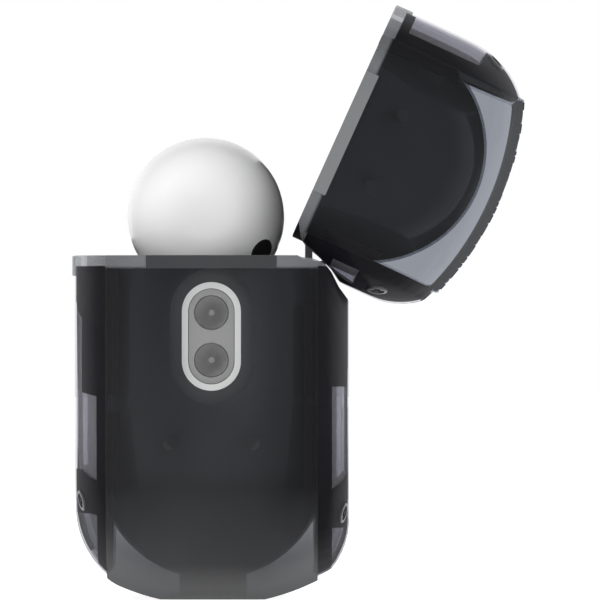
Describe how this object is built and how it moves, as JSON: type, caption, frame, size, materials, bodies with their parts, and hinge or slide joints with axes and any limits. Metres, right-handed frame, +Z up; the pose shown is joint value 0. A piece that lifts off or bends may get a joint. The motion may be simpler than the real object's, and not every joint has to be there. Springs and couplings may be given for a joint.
{
  "type": "wireless earbud charging case in a protective cover",
  "caption": "Hinged pocket charging case with stem-type earbuds, held in a smoked-clear two-part hard cover with a lanyard window.",
  "frame": {"origin": "centre of the cover's flat underside", "axes": "+Z up, -Y the front with the finger lips, +Y the hinge side, +X the end with the lanyard loop"},
  "size_m": [0.065, 0.0434, 0.0571],
  "materials": {
    "smoked_clear": "smoked transparent polycarbonate, polished",
    "smoked_panel": "clear polycarbonate plate, faintly smoked",
    "black_print": "black printed film, satin",
    "screw_metal": "small bright screw heads",
    "pad_grey": "grey adhesive pad",
    "clear_bumper": "clear silicone",
    "blue_strip": "blue-black textured strip",
    "case_grey": "dark grey moulded plastic",
    "cradle_dark": "near-black moulded plastic",
    "metal": "plain steel",
    "board_green": "circuit board",
    "black_plastic": "black moulded plastic",
    "copper": "enamelled copper winding",
    "ring_metal": "satin steel",
    "gold": "gold plated",
    "lens_white": "milky light guide",
    "bud_white": "glossy white",
    "silicone": "soft white silicone",
    "black_mesh": "fine black mesh"
  },
  "bodies": {
    "cover_body": {"cover_body_shell": "smoked_clear", "body_front_panel": "smoked_panel", "body_front_trim": "black_print", "body_back_panel": "smoked_panel", "body_back_trim": "black_print", "body_front_screws": "screw_metal", "body_back_screws": "screw_metal", "body_seam_pads": "pad_grey", "body_spacer_dots": "clear_bumper"},
    "case": {"case_body_shell": "case_grey", "case_cradle": "cradle_dark", "battery_cell": "metal", "main_board": "board_green", "charge_port": "metal", "port_tongue": "black_plastic", "case_speaker": "black_plastic", "charge_coil": "copper", "lanyard_ring": "ring_metal", "lanyard_plate": "ring_metal", "lanyard_pocket": "black_plastic", "charging_contacts": "gold", "status_lens": "lens_white", "case_magnets": "metal", "button_switch": "black_plastic", "hinge_leaf_body": "metal", "hinge_pin": "metal"},
    "setup_button": {"setup_button": "case_grey"},
    "case_lid": {"case_lid_shell": "case_grey", "case_lid_liner": "cradle_dark", "lid_magnets": "metal", "hinge_leaf_lid": "metal"},
    "lid_cover": {"cover_lid_shell": "smoked_clear", "lid_front_panel": "smoked_panel", "lid_front_trim": "black_print", "lid_back_panel": "smoked_panel", "lid_back_trim": "black_print", "lid_front_screws": "screw_metal", "lid_back_screws": "screw_metal", "lid_seam_pads": "pad_grey", "lid_spacer_dots": "clear_bumper", "lid_top_strip": "blue_strip"},
    "left_bud": {"left_bud_head": "bud_white", "left_bud_stem": "bud_white", "left_ear_tip": "silicone", "left_vent_mesh": "black_mesh", "left_stem_contact": "metal", "left_mic_grille": "black_mesh"},
    "right_bud": {"right_bud_head": "bud_white", "right_bud_stem": "bud_white", "right_ear_tip": "silicone", "right_vent_mesh": "black_mesh", "right_stem_contact": "metal", "right_mic_grille": "black_mesh"}
  },
  "joints": [
    {"name": "case_out", "type": "slide", "parent": "cover_body", "child": "case", "axis": [0, 0, 1], "range_m": [0, 0.034]},
    {"name": "lid_hinge", "type": "hinge", "parent": "case", "child": "case_lid", "pos_m": [0, 0.00984, 0.03507], "axis": [-1, 0, 0], "range_deg": [-114.3, 0]},
    {"name": "lid_cover_off", "type": "slide", "parent": "case_lid", "child": "lid_cover", "axis": [0, 0.9114, -0.4115], "range_m": [0, 0.018]},
    {"name": "left_bud_lift", "type": "slide", "parent": "case", "child": "left_bud", "axis": [0, 0, 1], "range_m": [0, 0.022]},
    {"name": "right_bud_lift", "type": "slide", "parent": "case", "child": "right_bud", "axis": [0, 0, 1], "range_m": [0, 0.022]},
    {"name": "setup_button_press", "type": "slide", "parent": "case", "child": "setup_button", "axis": [0, -1, 0], "range_m": [0, 0.0003], "stiffness_N_per_m": 400}
  ]
}
